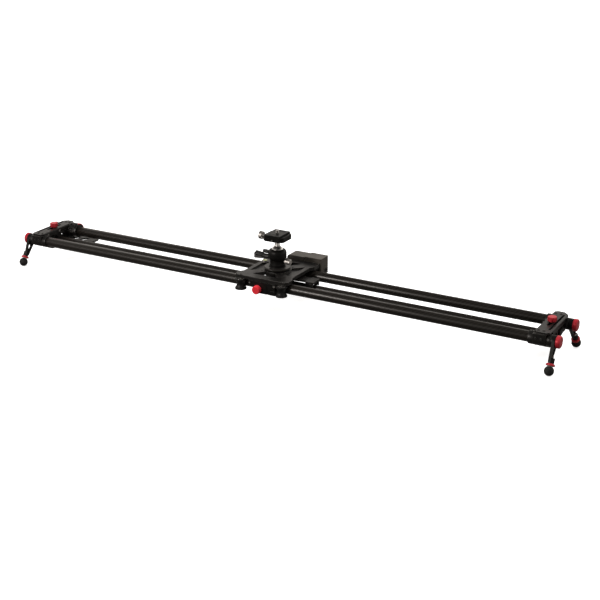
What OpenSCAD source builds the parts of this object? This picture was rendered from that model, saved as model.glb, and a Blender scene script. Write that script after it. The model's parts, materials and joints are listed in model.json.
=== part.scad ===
// Camera slider: two rail tubes on folding legs, a motor-driven carriage that rolls between
// the tubes, a guide rod that turns the carriage's turntable, and a ball head on top.
// X runs along the rails, Y to the back, Z up. The origin is on the ground, under the middle
// of the whole object. Sizes are in millimetres.

/* [Rails] */
// Length over the clamp knobs at both ends
overall_l = 1200; // [900:10:1500]
// Outer diameter of the rail tubes
rail_d = 20; // [19.5:0.1:20.5]
// Wall thickness of the rail tubes
rail_wall = 1.5; // [1:0.1:2]
// Distance from the mid line to each rail tube's axis
rail_y = 45.8; // [45:0.1:47]
// Outer diameter of the guide rod
rod_d = 14.6; // [14:0.2:15]
// Sideways place of the guide rod
rod_y = 3; // [0:0.5:4]

/* [Legs] */
// Distance from a leg's pivot to the middle of its ball foot
leg_l = 53.3; // [53:0.1:58]
// Angle of each leg from the vertical
leg_splay = 32; // [20:0.5:45]
// Radius of the ball feet
foot_r = 9; // [7:0.1:9]
// Radius of the clamp knobs on the legs
leg_knob_r = 11.5; // [9:0.1:12]

/* [Carriage] */
// Length of the carriage plate along the rails
plate_l = 118; // [114:1:122]
// Radius of the turntable disc
disc_r = 26.3; // [24:0.1:28]
// Length of the carriage's motor and control housings together
box_l = 78; // [74:1:80]
// Depth of the motor and control housings
box_d = 30.4; // [28:0.2:34]

/* [Ball head] */
// Radius of the ball
ball_r = 13; // [12:0.1:13.4]
// Width of the camera clamp
clamp_w = 46; // [44:1:50]
// Radius of the camera screw
camera_screw_r = 3.175; // [3.175]

/* [Hidden] */
$fn = 96;
slip = 0.05;   // radial clearance of running fits
gap = 0.3;     // clearance between faces that pass each other

// Rails
rail_r = rail_d / 2;
rail_bore = rail_r + slip;
rod_r = rod_d / 2;
knob_l = 8.2;                                  // thickness of a leg's clamp knob
end_x = overall_l / 2;
knob_x = end_x - knob_l;                       // inner face of the clamp knobs
leg_t = 8;
leg_x = knob_x - gap - leg_t;                  // inner face of the legs
hub_x = leg_x - gap - 6;                       // inner face of the hub flanges
rail_end = hub_x - 0.2;
end_plate_x0 = end_x - 49;
end_plate_x1 = end_x - 20;
collar_l = 9;
collar_r = rail_r + 2.4;
stop_l = 20;
buffer_l = 4;                                  // soft pad of the end stop
buffer_bore = 15.2;
foot_x = 7;                                    // foot's axis from a leg's inner face
rail_z = leg_l * cos(leg_splay) + foot_r;      // height of the rail axes

// Heights above the ground
end_top_z = rail_z + 15.8;
rod_z = rail_z - 9.5;
plate_z = rail_z + 11.8;                       // underside of the carriage plate
plate_top = plate_z + 7;
disc_z = plate_top + 2.6;
disc_t = 3;
head_z = disc_z + disc_t;                      // underside of the ball head
body_z = head_z + 1.7;                         // underside of the head's turning body
ball_z = body_z + 28.3;
clamp_z = ball_z + 25.4;

// Sideways places. The back of the motor box and the front feet are equally far from Y = 0.
foot_y = rail_y + leg_l * sin(leg_splay) + foot_r;
box_y = 66;
mid_y = (foot_y - box_y - box_d) / 2;

// Carriage
roller_y = rail_y + 18.2;
roller_x = 46;
roller_r = 11.4;
roller_h = 21;
axle_r = 3;
screw_r = 1.5;                                 // axle where it is screwed into the plate
ring_r = 27;
drum_r = 20;
arm_l = 78;                                    // turntable axis to the fork on the rod
brake_x = -5;
brake_z = rail_z - 3.5;
wheel_r = 12.15;
wheel_x = 2;
wheel_y = rail_y + rail_r + gap + wheel_r;
box_x = -box_l / 2 + 23;
control_x = box_x + 40;

// Ball head
neck_r = 5;
seat_angle = 61;                               // half angle of the opening over the ball
seat_r = ball_r + slip;
side_x = 18.5;                                 // where the knobs at the body's left side begin
pan_x = 17.8;
qr_z = clamp_z + 6.3;
qr_top = clamp_z + 13;

carbon = "#2c2a28";
black = "#1f1e1d";
red = "#c2303a";
steel = "#c9c8c4";
rubber = "#151515";
nylon = "#3a3a3c";

LEGS = ["front_left", "front_right", "back_left", "back_right"];

// Colours a piece and places it from the rails' mid line into the object's frame.
module piece(c) {
    translate([0, mid_y, 0]) color(c) children();
}

// Mirrors what is drawn at the right end or at the back to the left or front.
module at_corner(x_side, y_side) {
    mirror([x_side < 0 ? 1 : 0, 0, 0])
        mirror([0, y_side < 0 ? 1 : 0, 0])
            children();
}

module at_corners() {
    for (x_side = [-1, 1])
        for (y_side = [-1, 1])
            at_corner(x_side, y_side) children();
}

// A cylinder along X or along Y that starts at the given point.
module rod_x(at, r, h) {
    translate(at) rotate([0, 90, 0]) cylinder(r = r, h = h);
}

module rod_y_axis(at, r, h) {
    translate(at) rotate([-90, 0, 0]) cylinder(r = r, h = h);
}

module pipe_x(at, r, bore, h) {
    difference() {
        rod_x(at, r, h);
        rod_x(at - [1, 0, 0], bore, h + 2);
    }
}

// Outline of two circles joined by their outer tangents; the second lies below the first.
module taper(r1, r2, d) {
    tilt = asin((r1 - r2) / d);
    c = cos(tilt);
    s = sin(tilt);
    circle(r = r1);
    translate([0, -d]) circle(r = r2);
    polygon([
        [-r1 * c, -r1 * s],
        [r1 * c, -r1 * s],
        [r2 * c, -d - r2 * s],
        [-r2 * c, -d - r2 * s]
    ]);
}

// A rectangle from one corner point to the other with its corners cut off.
module cut_corners(x0, y0, x1, y1, cut) {
    polygon([
        [x0 + cut, y0],
        [x1 - cut, y0],
        [x1, y0 + cut],
        [x1, y1 - cut],
        [x1 - cut, y1],
        [x0 + cut, y1],
        [x0, y1 - cut],
        [x0, y0 + cut]
    ]);
}

// Knob with grooves along its rim, standing on Z = 0. The upper edge is chamfered.
module grooved_knob(r1, r2, h, grooves, groove_r) {
    edge = 1;
    difference() {
        union() {
            cylinder(r1 = r1, r2 = r2, h = h - edge);
            translate([0, 0, h - edge]) cylinder(r1 = r2, r2 = r2 - edge, h = edge);
        }
        for (i = [0 : grooves - 1])
            rotate([0, 0, i * 360 / grooves])
                translate([max(r1, r2) + groove_r * 0.55, 0, -1])
                    cylinder(r = groove_r, h = h + 2);
    }
}

// ---- Frame ----

module rail_tube(side) {
    pipe_x([-rail_end, side * rail_y, rail_z], rail_r, rail_r - rail_wall, 2 * rail_end);
}

// Top plate with two lips underneath and a clamp block around each rail.
module end_plate() {
    block_r = 12.5;
    block_l = 24;
    front_y = -55;
    back_y = 58.5;
    cut = 6;
    back_cut = 10;
    top_t = 4;
    bevel = 1.6;
    slot_half = 18.5;
    stud_slot_r = 3.4;
    edge_slot = [4.5, 82];                     // slot along the outer edge
    difference() {
        union() {
            intersection() {
                translate([0, 0, end_top_z - top_t])
                    linear_extrude(top_t)
                        polygon([
                            [end_plate_x0 + cut, front_y],
                            [end_plate_x1 - cut, front_y],
                            [end_plate_x1, front_y + cut],
                            [end_plate_x1, back_y - back_cut],
                            [end_plate_x1 - back_cut, back_y],
                            [end_plate_x0 + cut, back_y],
                            [end_plate_x0, back_y - cut],
                            [end_plate_x0, front_y + cut]
                        ]);
                rotate([90, 0, 0])
                    linear_extrude(2 * back_y + 2, center = true)
                        polygon([
                            [end_plate_x0, end_top_z - top_t],
                            [end_plate_x1, end_top_z - top_t],
                            [end_plate_x1, end_top_z - bevel],
                            [end_plate_x1 - bevel, end_top_z],
                            [end_plate_x0 + bevel, end_top_z],
                            [end_plate_x0, end_top_z - bevel]
                        ]);
            }
            for (x = [end_plate_x0, end_plate_x1 - 3])
                translate([x, -33, end_top_z - 10]) cube([3, 66, 7]);
            for (y = [-rail_y, rail_y]) {
                rod_x([end_plate_x0, y, rail_z], block_r, block_l);
                translate([end_plate_x0, y - block_r, rail_z])
                    cube([block_l, 2 * block_r, end_top_z - top_t + 0.5 - rail_z]);
            }
        }
        for (y = [-rail_y, rail_y])
            rod_x([end_plate_x0 - 1, y, rail_z], rail_bore, block_l + 2);
        translate([end_plate_x1 - 8.5, -38, end_top_z - top_t - 0.5])
            cube([edge_slot[0], edge_slot[1], top_t + 1]);
        translate([end_x - 35, rod_y, end_top_z - top_t - 1]) {
            for (y = [-slot_half, slot_half])
                translate([0, y, 0]) cylinder(r = stud_slot_r, h = top_t + 2);
            translate([-stud_slot_r, -slot_half, 0])
                cube([2 * stud_slot_r, 2 * slot_half, top_t + 2]);
        }
    }
}

// Rings beside the clamp blocks; the stop collar takes their place at the back left.
module rail_collars() {
    for (corner = [[-1, -1], [1, -1], [1, 1]])
        at_corner(corner[0], corner[1])
            pipe_x([end_plate_x0 - collar_l - gap, rail_y, rail_z], collar_r, rail_bore, collar_l);
}

// Plug in the rail's end, with the flange and the shaft that carry the leg.
module leg_hubs() {
    shaft_r = 4;
    at_corners() {
        rod_x([rail_end - 20, rail_y, rail_z], rail_r - rail_wall - slip, hub_x - rail_end + 20.5);
        rod_x([hub_x, rail_y, rail_z], 11, 6);
        rod_x([hub_x, rail_y, rail_z], shaft_r, end_x - 2 - hub_x);
    }
}

// Tripod bracket: a beam between the clamp blocks that dips under the guide rod, a low pan
// with the thread, and a shelf under the back rail that reaches inwards.
module tripod_bracket(shelf_l) {
    beam_x = end_x - 48;
    beam_l = 20;
    pan_z = rail_z - 25;
    pan_t = 5.6;
    boss_x = end_x - 75;
    boss_l = 13;                               // from the thread to the pan's inner edge
    thread_r = 3.97;
    shelf_z = rail_z - 20.6;
    shelf_t = 3.4;
    shelf_w = 32;
    shelf_x = beam_x + beam_l - shelf_l;
    difference() {
        union() {
            translate([beam_x, 0, rail_z]) rotate([90, 0, 90]) linear_extrude(beam_l) polygon([
                [-47, -8],
                [-47, -13.2],
                [-42, -14.4],
                [-21, -24.4],
                [-14, -25],
                [34, -25],
                [54, -20],
                [54, -8],
                [38, -8],
                [30.5, -13],
                [30.5, -19.4],
                [-24.5, -19.4],
                [-31, -13.4],
                [-38, -8]
            ]);
            translate([boss_x - boss_l, -11, pan_z]) cube([beam_x - boss_x + boss_l + 2, 44, pan_t]);
            translate([shelf_x, 30.5, shelf_z]) cube([shelf_l, shelf_w, shelf_t]);
        }
        for (y = [-rail_y, rail_y])
            rod_x([beam_x - 1, y, rail_z], 12.6, beam_l + 2);
        translate([boss_x, 0, pan_z - 1]) cylinder(r = thread_r, h = pan_t + 2);
        translate([0, 0, shelf_z - 1]) linear_extrude(shelf_t + 2) shelf_windows(beam_x, shelf_x);
    }
}

// Slanting windows of a shelf that is long enough to have them.
module shelf_windows(beam_x, shelf_x) {
    pitch = 21;
    count = floor((beam_x - shelf_x - 4) / pitch);
    if (count > 0)
        for (i = [0 : count - 1])
            translate([beam_x - 3 - i * pitch, 0]) polygon([
                [0, 36],
                [-7, 36],
                [-17, 57],
                [-6, 57],
                [0, 46]
            ]);
}

module end_plate_screws() {
    for (x_side = [-1, 1])
        at_corner(x_side, 1)
            for (y = [-rail_y + 11.2, rod_y - 0.7]) {
                rod_x([end_plate_x0 - 2, y, end_top_z - 5.5], 2.6, 2);
                rod_x([end_plate_x0 - 2.4, y, end_top_z - 5.5], 1.8, 0.4);
            }
}

// End stop of the carriage on the back rail: a ring with a thicker upper half, whose inner
// end is turned down for the soft pad.
module stop_collar() {
    stop_r = 16.7;
    notches = 4;
    at = [-end_plate_x0 + gap, rail_y, rail_z];
    difference() {
        union() {
            rod_x(at, collar_r, stop_l);
            intersection() {
                union() {
                    rod_x(at, stop_r, stop_l - buffer_l);
                    rod_x(at, buffer_bore - slip, stop_l);
                }
                translate(at - [1, stop_r + 1, 0])
                    cube([stop_l + 2, 2 * (stop_r + 1), stop_r + 1]);
            }
        }
        rod_x(at - [1, 0, 0], rail_bore, stop_l + 2);
        for (i = [0 : notches - 1])
            translate([-end_plate_x0 + 4, rail_y, rail_z])
                rotate([(i - (notches - 1) / 2) * 45, 0, 0])
                    rod_x([0, 0, stop_r + 0.4], 3, 9);
    }
}

// Soft pad on the back and top of the end stop.
module stop_buffer() {
    buffer_r = 17;
    x0 = -end_plate_x0 + gap + stop_l - buffer_l;
    intersection() {
        pipe_x([x0, rail_y, rail_z], buffer_r, buffer_bore, buffer_l);
        translate([x0 - 1, rail_y, rail_z + 2])
            cube([buffer_l + 2, buffer_r + 1, buffer_r + 1]);
    }
}

// ---- Guide rod ----

module guide_rod() {
    l = 2 * (end_x - 26);
    pipe_x([-l / 2, rod_y, rod_z], rod_r, rod_r - 1.5, l);
}

// Blocks on the guide rod's ends, each with a stud that stands in the end plate's slot.
module rod_carriers() {
    block_l = 17;
    block_r = 9.4;                             // rod's axis to the block's underside
    stud_r = 3;
    for (x_side = [-1, 1])
        at_corner(x_side, 1)
            difference() {
                union() {
                    translate([end_x - 43.5, rod_y - 11, rod_z - block_r])
                        cube([block_l, 22, end_top_z - 8.5 - rod_z + block_r]);
                    translate([end_x - 35, rod_y, end_top_z - 10])
                        cylinder(r = stud_r, h = 17);
                }
                rod_x([end_x - 45, rod_y, rod_z], rod_r + slip, block_l + 4);
            }
}

module rod_knob(side) {
    knob_r = 8.6;
    translate([side * (end_x - 35), rod_y, end_top_z + gap])
        difference() {
            union() {
                cylinder(r = 6, h = 2);
                translate([0, 0, 1.5]) grooved_knob(knob_r, knob_r - 0.4, 8, 6, 3);
            }
            translate([0, 0, -1]) cylinder(r = 3 + slip, h = 8);
        }
}

// ---- Legs ----

// The frame of a leg: origin at its pivot, hanging along -Z and splayed outwards.
module leg_frame(x_side, y_side) {
    at_corner(x_side, y_side)
        translate([leg_x, rail_y, rail_z])
            rotate([leg_splay, 0, 0])
                children();
}

// Ring on the hub's shaft, two struts with a slit between them, and a boss for the foot.
module leg(x_side, y_side) {
    ring_r = 11;
    ring_low_r = 4.8;
    tip_z = leg_l - 19;
    strut_x = 2;
    strut_t = 5.4;
    boss_r = 5.5;
    shaft_r = 4 + slip;
    stud_r = 3 + slip;
    leg_frame(x_side, y_side)
        difference() {
            union() {
                rod_x([0, 0, 0], ring_r, leg_t);
                translate([strut_x, 0, 0]) rotate([90, 0, 90]) linear_extrude(strut_t) difference() {
                    taper(ring_r, ring_low_r, tip_z);
                    translate([0, -17.3]) taper(4.9, 1.6, 11.5);
                }
                translate([foot_x, 0, -tip_z - 6]) cylinder(r = boss_r, h = 10);
            }
            rod_x([-1, 0, 0], shaft_r, leg_t + 2);
            translate([foot_x, 0, -tip_z - 7]) cylinder(r = stud_r, h = 14);
        }
}

// Knob at the rail's end that clamps the leg: a flat cap with a chamfered rim.
module leg_knob(x_side, y_side) {
    at_corner(x_side, y_side)
        difference() {
            translate([knob_x, rail_y, rail_z])
                rotate([0, 90, 0])
                    rotate_extrude()
                        polygon([
                            [0, 0],
                            [leg_knob_r - 1, 0],
                            [leg_knob_r, 1],
                            [leg_knob_r, knob_l - 1.8],
                            [leg_knob_r - 1.8, knob_l],
                            [0, knob_l]
                        ]);
            rod_x([knob_x - 1, rail_y, rail_z], 4 + slip, knob_l - 0.8);
        }
}

// Ball of rubber on a threaded stud.
module foot(x_side, y_side) {
    stud_top = leg_l - 25.6;
    leg_frame(x_side, y_side)
        translate([foot_x, 0, 0]) {
            translate([0, 0, -leg_l]) sphere(r = foot_r);
            translate([0, 0, -leg_l + 4]) cylinder(r = 4.5, h = 5);
            translate([0, 0, -leg_l + 4]) cylinder(r = 3, h = leg_l - 4 - stud_top);
        }
}

module lock_ring(x_side, y_side) {
    leg_frame(x_side, y_side)
        translate([foot_x, 0, -leg_l + 9.2])
            difference() {
                grooved_knob(8.2, 8.2, 3.6, 24, 0.7);
                translate([0, 0, -1]) cylinder(r = 3 + slip, h = 6);
            }
}

// ---- Carriage ----

// Grooved roller that runs on the outer side of a rail.
module roller(x_side, y_side) {
    groove_r = rail_r + gap;
    at_corner(x_side, y_side)
        translate([roller_x, roller_y, rail_z - roller_h / 2])
            difference() {
                cylinder(r = roller_r, h = roller_h);
                translate([0, 0, roller_h / 2])
                    rotate_extrude() translate([roller_y - rail_y, 0]) circle(r = groove_r);
                translate([0, 0, -1]) cylinder(r = axle_r + slip, h = roller_h + 2);
            }
}

module roller_axles() {
    at_corners() {
        translate([roller_x, roller_y, rail_z - roller_h / 2 - 2.6])
            cylinder(r = 4.6, h = 2.4);
        translate([roller_x, roller_y, rail_z - roller_h / 2 - 2.6])
            cylinder(r = axle_r, h = roller_h + gap + 2.6);
        translate([roller_x, roller_y, rail_z])
            cylinder(r = screw_r, h = plate_top - 2.1 - rail_z);
    }
}

// Outline of the carriage plate: a frame whose sides are drawn in between the corners.
module plate_outline() {
    half = plate_l / 2;
    waist = half - 6;
    polygon([
        [-half - 1, -box_y + 7],
        [-half + 6, -box_y],
        [half - 6, -box_y],
        [half, -box_y + 6],
        [half, -44],
        [waist, -34],
        [waist, 34],
        [half, 44],
        [half, box_y - 0.1],
        [-half + 3, box_y - 0.1],
        [-half, box_y - 8],
        [-half, 44],
        [-waist, 34],
        [-waist, -40],
        [-half - 1, -48]
    ]);
}

// Windows between the ring, the diagonals and the bars at front and back.
module plate_window() {
    bar_y = 47.5;
    bar_x = 29;
    difference() {
        polygon([
            [-bar_x, bar_y],
            [bar_x, bar_y],
            [9, 24],
            [-9, 24]
        ]);
        circle(r = ring_r);
    }
}

// Shallow pocket between the ring and the bar at each side.
module side_pocket() {
    difference() {
        polygon([
            [44, -33],
            [44, 33],
            [21, 12],
            [21, -12]
        ]);
        circle(r = ring_r + 1);
    }
}

module carriage_plate() {
    pocket_t = 3.2;
    boss_r = 6;
    boss_t = plate_z - rail_z - roller_h / 2 - gap;
    difference() {
        union() {
            translate([0, 0, plate_z]) linear_extrude(plate_top - plate_z) difference() {
                plate_outline();
                for (s = [0, 1])
                    mirror([0, s, 0]) plate_window();
            }
            translate([0, 0, plate_z - 3.6]) cylinder(r = ring_r - 2, h = 4);
            at_corners()
                translate([roller_x, roller_y, plate_z - boss_t])
                    intersection() {
                        cylinder(r = boss_r, h = boss_t + 1);
                        translate([-boss_r, -boss_r, -1])
                            cube([2 * boss_r, boss_r + box_y - 0.1 - roller_y, boss_t + 3]);
                    }
        }
        for (s = [0, 1])
            mirror([s, 0, 0])
                translate([0, 0, plate_top - pocket_t]) linear_extrude(pocket_t + 1) side_pocket();
        translate([0, 0, plate_z - 5]) cylinder(r = drum_r + slip, h = 20);
        at_corners()
            translate([roller_x, roller_y, plate_z - 5])
                cylinder(r = screw_r + slip, h = plate_top - 2 - plate_z + 5);
    }
}

// Block on the front edge that holds the brake screw just below the front rail's axis.
module brake_housing() {
    face_y = -box_y - 2.2;
    back_y = -rail_y - rail_r - 1.2;
    difference() {
        union() {
            translate([-14, face_y, rail_z - 11.4]) cube([47.8, back_y - face_y, 23.1]);
            translate([-28, face_y + 1.5, rail_z + 1.5]) cube([15, back_y - face_y - 1.5, 10.2]);
        }
        rod_y_axis([brake_x, face_y - 1, brake_z], 3 + slip, 20);
        rod_y_axis([brake_x, back_y - 4, brake_z], 6.1, 6);
        translate([15, face_y - 1, rail_z - 12]) cube([4, 2.2, 18]);
        translate([23, face_y - 1, rail_z - 3]) cube([9, 1.8, 3]);
        rod_y_axis([31, face_y - 1, rail_z + 7.6], 2.6, 1.8);
    }
}

module brake_knob() {
    knob_h = 9;
    translate([brake_x, -box_y - 2.5 - knob_h, brake_z])
        rotate([-90, 0, 0]) {
            mirror([0, 0, 1]) translate([0, 0, -knob_h]) grooved_knob(8.6, 8.2, knob_h, 30, 0.6);
            cylinder(r = 3, h = knob_h + 8.6);
        }
}

module brake_pad() {
    pad_y = -rail_y - rail_r - gap;
    difference() {
        rod_y_axis([brake_x, pad_y - 3.6, brake_z], 6, 3.6 + 3);
        rod_x([brake_x - 20, -rail_y, rail_z], rail_r + gap, 40);
    }
}

// Case of the motor, open towards the rail where the drive wheel looks out.
module motor_housing() {
    wall = 2;
    top_z = plate_top + 8;
    z0 = rail_z - 7;
    l = control_x - box_x;
    round_r = 6;
    difference() {
        translate([0, box_y + box_d - 0.4, 0]) rotate([90, 0, 0]) linear_extrude(box_d - 0.4) union() {
            translate([box_x + round_r, z0]) square([l - round_r, top_z - z0]);
            translate([box_x, z0]) square([l, top_z - z0 - round_r]);
            translate([box_x + round_r, top_z - round_r]) circle(r = round_r);
        }
        translate([box_x + wall, box_y + wall, z0 + wall])
            cube([l - 2 * wall, box_d - 2 * wall - 0.4, top_z - z0 - round_r - 1]);
        translate([wheel_x - 14, box_y - 1, rail_z - 4.6]) cube([28, wall + 3, 12.8]);
        for (z = [z0 + 10, z0 + 15, z0 + 20])
            translate([box_x - 1, box_y + 8, z]) cube([2, 15, 1.6]);
    }
}

// Case of the control board, a little taller than the motor's, with a recess for the roller.
module control_housing() {
    wall = 2;
    seam = 0.1;
    recess_z = rail_z + roller_h / 2 + 0.6;
    top_z = plate_top + 9.4;
    z0 = rail_z - 7.4;
    l = box_x + box_l - control_x;
    difference() {
        translate([control_x + seam, box_y, z0])
            linear_extrude(top_z - z0)
                cut_corners(0, 0, l - seam, box_d, 1.2);
        translate([control_x + wall, box_y + wall, recess_z + wall])
            cube([l - 2 * wall, box_d - 2 * wall, top_z - recess_z - 2 * wall]);
        translate([control_x + wall, box_y + 12, z0 + wall])
            cube([l - 2 * wall, box_d - 12 - wall, recess_z - z0]);
        translate([roller_x, roller_y, z0 - 1])
            cylinder(r = roller_r + 0.7, h = recess_z - z0 + 1);
        rod_x([control_x + l - wall - 1, box_y + 20, z0 + 8], 4, wall + 3);
    }
}

// Motor on its flat gearbox, whose output shaft carries the drive wheel.
module gear_motor() {
    translate([wheel_x - 8, box_y + 0.4, rail_z + 5.2]) cube([16, 25.6, 2.8]);
    translate([wheel_x, box_y + 16, rail_z + 7.9]) cylinder(r = 9, h = 10);
    translate([wheel_x, wheel_y, rail_z - 2]) cylinder(r = 1.5 - slip, h = 8);
}

// Drive wheel with a rubber tread against the back rail.
module drive_wheel() {
    translate([wheel_x, wheel_y, rail_z - 4])
        difference() {
            union() {
                cylinder(r = wheel_r, h = 8);
                translate([0, 0, 7]) cylinder(r = 4, h = 1.6);
            }
            translate([0, 0, 1.5]) cylinder(r = 1.5, h = 8);
        }
}

module power_inlet() {
    l = box_x + box_l;
    z = rail_z + 0.6;
    difference() {
        union() {
            rod_x([l - 9, box_y + 20, z], 3.9, 8.8);
            rod_x([l + 0.05, box_y + 20, z], 5, 0.8);
        }
        rod_x([l - 7, box_y + 20, z], 2.75, 9);
    }
    rod_x([l - 9, box_y + 20, z], 0.9, 8);
}

module spirit_level() {
    translate([-43, 24, plate_top]) {
        difference() {
            cylinder(r = 5.6, h = 4);
            translate([0, 0, 1.5]) cylinder(r = 4.4, h = 4);
        }
        translate([0, 0, 1.5]) cylinder(r = 4.35, h = 2.1);
    }
}

// Disc with the drum that turns in the carriage plate.
module turntable() {
    edge = 0.8;
    translate([0, 0, disc_z]) {
        cylinder(r = disc_r, h = disc_t - edge);
        translate([0, 0, disc_t - edge]) cylinder(r1 = disc_r, r2 = disc_r - edge, h = edge);
    }
    translate([0, 0, plate_z - 4.2]) cylinder(r = drum_r, h = disc_z - plate_z + 4.3);
}

// Arm under the drum whose forked end straddles the guide rod.
module swing_arm() {
    arm_z = plate_z - 8.2;
    finger_r = 3;
    finger_y = rod_r + finger_r + 0.45;
    cheek_t = 3;
    cheek_y = finger_y + cheek_t / 2;
    block_l = 17;
    block_w = 28;
    translate([0, 0, arm_z]) linear_extrude(3.9) union() {
        circle(r = 18);
        polygon([
            [0, -14],
            [arm_l - 9, rod_y - 9],
            [arm_l + 8, rod_y - 9],
            [arm_l + 8, rod_y + 9],
            [arm_l - 9, rod_y + 9],
            [0, 16]
        ]);
        translate([arm_l - 9, rod_y - block_w / 2]) square([block_l, block_w]);
    }
    for (s = [-1, 1]) {
        translate([arm_l, rod_y + s * finger_y, rod_z - 3]) cylinder(r = finger_r, h = arm_z - rod_z + 3.5);
        translate([arm_l - 8, rod_y + s * cheek_y - cheek_t / 2, rod_z + 4])
            cube([block_l - 2, cheek_t, arm_z - rod_z - 3.5]);
    }
}

// ---- Ball head ----

module head_base() {
    translate([0, 0, head_z]) {
        cylinder(r1 = 17.5, r2 = 16.6, h = 1.4);
        cylinder(r = 8, h = 8.9);
    }
}

// Body with the ball's seat and, at the back, the notch that the neck drops into.
module head_body() {
    top_z = ball_z + seat_r * cos(seat_angle);
    notch_r = neck_r + 1.5;
    difference() {
        translate([0, 0, body_z]) rotate_extrude() polygon([
            [0, 0],
            [15, 0],
            [15.8, 0.8],
            [15.8, 4],
            [14.9, 4.8],
            [14.9, 12],
            [17.8, 16],
            [18.2, 17],
            [18.2, 27.5],
            [17.2, 30.8],
            [14.8, 33.4],
            [12.6, top_z - body_z],
            [0, top_z - body_z]
        ]);
        translate([0, 0, ball_z]) sphere(r = seat_r);
        translate([0, 0, ball_z]) cylinder(r = seat_r * sin(seat_angle), h = 20);
        translate([0, 0, body_z - 1]) cylinder(r = 8 + slip, h = 9);
        rod_y_axis([0, 0, ball_z], notch_r, 20);
        translate([-notch_r, 0, ball_z]) cube([2 * notch_r, 20, 20]);
        rod_x([-20, 0, body_z + 15], 3 + slip, 9);
        rod_x([-20, 0, body_z + 25], 2 + slip, 5.4);
        rod_x([10.5, 0, body_z + 10.6], 2.5 + slip, 9);
    }
}

module ball() {
    translate([0, 0, ball_z]) sphere(r = ball_r);
}

// Neck on the ball, with a collar that follows the ball's surface, up to the clamp.
module neck() {
    difference() {
        union() {
            translate([0, 0, ball_z]) cylinder(r = neck_r, h = clamp_z - ball_z - 0.05);
            translate([0, 0, ball_z]) cylinder(r = neck_r + 0.7, h = ball_r + 1.2);
        }
        translate([0, 0, ball_z]) sphere(r = ball_r + slip);
    }
}

// Knob on the body's left side, wider at its outer end, that locks the ball.
module lock_knob() {
    translate([-side_x, 0, body_z + 15]) rotate([0, -90, 0]) {
        translate([0, 0, -6]) cylinder(r = 3, h = 12);
        cylinder(r = 5, h = 15);
        translate([0, 0, 14.8]) grooved_knob(6.4, 8.2, 17, 5, 2.6);
    }
}

module tension_knob() {
    translate([-side_x, 0, body_z + 25]) rotate([0, -90, 0]) {
        translate([0, 0, -2.4]) cylinder(r = 2, h = 4);
        translate([0, 0, 1]) grooved_knob(3.9, 3.9, 12.6, 16, 0.5);
    }
}

module pan_knob() {
    translate([pan_x, 0, body_z + 10.6]) rotate([0, 90, 0]) {
        translate([0, 0, -6.4]) cylinder(r = 2.5, h = 9);
        cylinder(r = 4.4, h = 3.4);
        translate([0, 0, 3]) grooved_knob(5.8, 5.8, 9.4, 24, 0.6);
    }
}

// Base of the camera clamp with its fixed jaw on the right.
module clamp_body() {
    half = clamp_w / 2;
    jaw_z = clamp_z + 9.8;
    difference() {
        union() {
            translate([0, 0, clamp_z]) linear_extrude(6) cut_corners(-half, -22, half, 22, 7);
            intersection() {
                translate([0, 0, clamp_z]) linear_extrude(jaw_z - clamp_z)
                    cut_corners(-half, -22, half, 22, 7);
                rotate([90, 0, 0]) linear_extrude(60, center = true) polygon([
                    [17.6, clamp_z + 5],
                    [half + 1, clamp_z + 5],
                    [half + 1, jaw_z],
                    [16.4, jaw_z],
                    [16.4, clamp_z + 9.3],
                    [17.6, clamp_z + 8]
                ]);
            }
        }
        rod_x([-half - 1, 0, clamp_z + 3], 2 + slip, 24);
        translate([0, -22.5, clamp_z + 2.6]) rotate([-90, 0, 0]) cylinder(r = 2, h = 2.2);
    }
}

// Sliding jaw on the left.
module clamp_jaw() {
    half = clamp_w / 2;
    jaw_z = clamp_z + 9.8;
    intersection() {
        translate([0, 0, clamp_z + 6 + slip]) linear_extrude(jaw_z - clamp_z)
            cut_corners(-half, -22, half, 22, 7);
        rotate([90, 0, 0]) linear_extrude(60, center = true) polygon([
            [-17.6, clamp_z + 6.1],
            [-half - 1, clamp_z + 6.1],
            [-half - 1, jaw_z],
            [-16.4, jaw_z],
            [-16.4, clamp_z + 9.3],
            [-17.6, clamp_z + 8]
        ]);
    }
}

module clamp_knob() {
    half = clamp_w / 2;
    translate([-half - 7, 0, clamp_z + 3]) rotate([0, -90, 0]) {
        translate([0, 0, -21]) cylinder(r = 2, h = 23);
        cylinder(r = 4, h = 2.4);
        translate([0, 0, 2]) grooved_knob(8, 8, 8, 30, 0.6);
    }
}

// Plate that carries the camera: a dovetail foot under a pad, with a slot for the screw.
module quick_release_plate() {
    qr_half = 21;
    foot_w = 17.2;
    waist_w = 15.6;
    pad_w = 17;
    slot_r = camera_screw_r + 0.3;
    difference() {
        rotate([90, 0, 0]) linear_extrude(2 * qr_half, center = true) polygon([
            [-foot_w, qr_z],
            [foot_w, qr_z],
            [foot_w, clamp_z + 7.8],
            [waist_w, clamp_z + 9.4],
            [waist_w, clamp_z + 10.2],
            [pad_w, clamp_z + 10.2],
            [pad_w, qr_top - 0.6],
            [pad_w - 0.6, qr_top],
            [-pad_w + 0.6, qr_top],
            [-pad_w, qr_top - 0.6],
            [-pad_w, clamp_z + 10.2],
            [-waist_w, clamp_z + 10.2],
            [-waist_w, clamp_z + 9.4],
            [-foot_w, clamp_z + 7.8]
        ]);
        translate([0, 0, qr_z - 1]) cylinder(r = 7.6, h = 4.4);
        translate([0, 0, qr_z - 1]) cylinder(r = slot_r, h = 12);
        for (y = [-12, -17])
            translate([-11, y - 0.7, qr_top - 0.8]) cube([22, 1.4, 2]);
        for (y = [12, 17])
            translate([-11, y - 0.7, qr_top - 0.8]) cube([22, 1.4, 2]);
    }
}

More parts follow.
